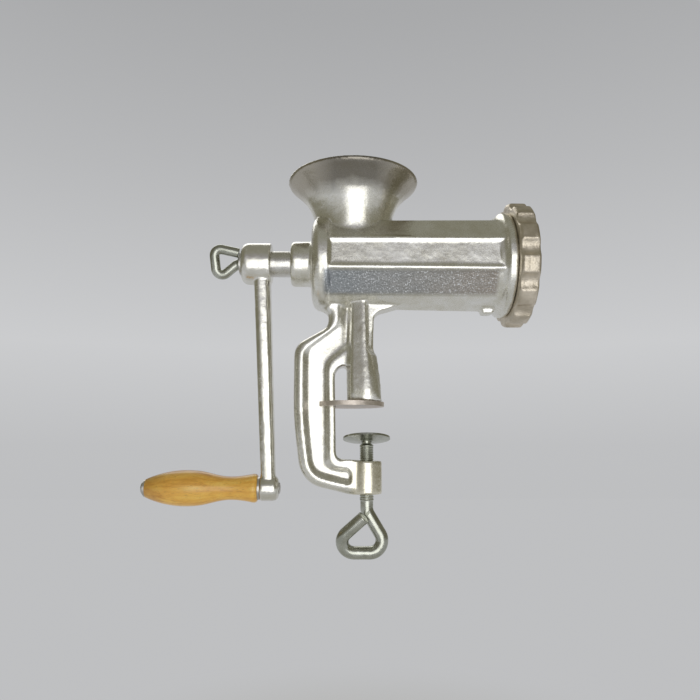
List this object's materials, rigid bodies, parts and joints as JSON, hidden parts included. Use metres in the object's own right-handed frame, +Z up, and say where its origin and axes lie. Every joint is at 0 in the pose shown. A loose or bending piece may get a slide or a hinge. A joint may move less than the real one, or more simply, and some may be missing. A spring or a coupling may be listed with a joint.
{
  "type": "hand crank meat grinder",
  "caption": "Table-clamp meat grinder with hopper, horizontal feed screw, knife and plate behind a lobed ring nut, and a hand crank.",
  "frame": {"origin": "on the clamp screw's axis, in the plane where the table plate meets the table top", "axes": "+X along the barrel axis towards the outlet, +Z up, crank at -X"},
  "size_m": [0.2977, 0.1052, 0.2973],
  "materials": {
    "tinned_casting": "bright tinned cast iron",
    "bush_iron": "machined",
    "washer_steel": "plain",
    "tinned_auger": "tinned",
    "stud_steel": "turned",
    "knife_steel": "ground",
    "plate_steel": "ground",
    "key_steel": "plain",
    "ring_casting": "satin, as cast",
    "crank_plated": "polished, tinned",
    "crank_washer_steel": "plain",
    "crank_screw_zinc": "bright zinc",
    "spindle_steel": "plain",
    "inner_washer_steel": "plain",
    "grip_wood": "varnished",
    "end_washer_steel": "plain",
    "clamp_screw_zinc": "bright zinc",
    "pad_zinc": "bright zinc",
    "table_plate_zinc": "bright zinc",
    "rivet_steel": "plain"
  },
  "bodies": {
    "housing": {"body_casting": "tinned_casting", "rear_bush": "bush_iron", "thrust_washer": "washer_steel", "plate_key": "key_steel", "table_plate": "table_plate_zinc", "table_rivet_front": "rivet_steel", "table_rivet_back": "rivet_steel"},
    "drive": {"auger": "tinned_auger", "auger_stud": "stud_steel", "knife": "knife_steel", "crank_arm": "crank_plated", "handle_spindle": "spindle_steel", "handle_inner_washer": "inner_washer_steel", "handle_end_washer": "end_washer_steel"},
    "grip": {"handle_grip": "grip_wood"},
    "plate": {"grinding_plate": "plate_steel"},
    "ring": {"ring_nut": "ring_casting"},
    "screw_washer": {"crank_washer": "crank_washer_steel"},
    "thumb_screw": {"crank_screw": "crank_screw_zinc"},
    "pad": {"clamp_pad": "pad_zinc"},
    "clamp": {"clamp_screw": "clamp_screw_zinc"}
  },
  "joints": [
    {"name": "crank_spin", "type": "hinge", "parent": "housing", "child": "drive", "pos_m": [0, 0, 0.1138], "axis": [1, 0, 0], "continuous": true},
    {"name": "grip_spin", "type": "hinge", "parent": "drive", "child": "grip", "pos_m": [-0.13, 0, -0.0618], "axis": [1, 0, 0], "continuous": true},
    {"name": "plate_travel", "type": "slide", "parent": "housing", "child": "plate", "axis": [1, 0, 0], "range_m": [0, 0.009]},
    {"name": "ring_turn", "type": "hinge", "parent": "plate", "child": "ring", "pos_m": [0.12, 0, 0.1138], "axis": [1, 0, 0], "range_deg": [0, 1080]},
    {"name": "washer_travel", "type": "slide", "parent": "drive", "child": "screw_washer", "axis": [-1, 0, 0], "range_m": [0, 0.01]},
    {"name": "thumb_turn", "type": "hinge", "parent": "screw_washer", "child": "thumb_screw", "pos_m": [-0.11, 0, 0.1138], "axis": [-1, 0, 0], "range_deg": [0, 2880]},
    {"name": "pad_travel", "type": "slide", "parent": "housing", "child": "pad", "axis": [0, 0, 1], "range_m": [-0.012, 0.01]},
    {"name": "clamp_turn", "type": "hinge", "parent": "pad", "child": "clamp", "pos_m": [0, 0, -0.06], "axis": [0, 0, 1], "range_deg": [-2469, 2058]}
  ],
  "couplings": [
    {"joint": "plate_travel", "follows": "ring_turn", "m_per_rad": 0.00047746},
    {"joint": "washer_travel", "follows": "thumb_turn", "m_per_rad": 0.00019894},
    {"joint": "clamp_turn", "follows": "pad_travel", "rad_per_m": 3590.4}
  ]
}
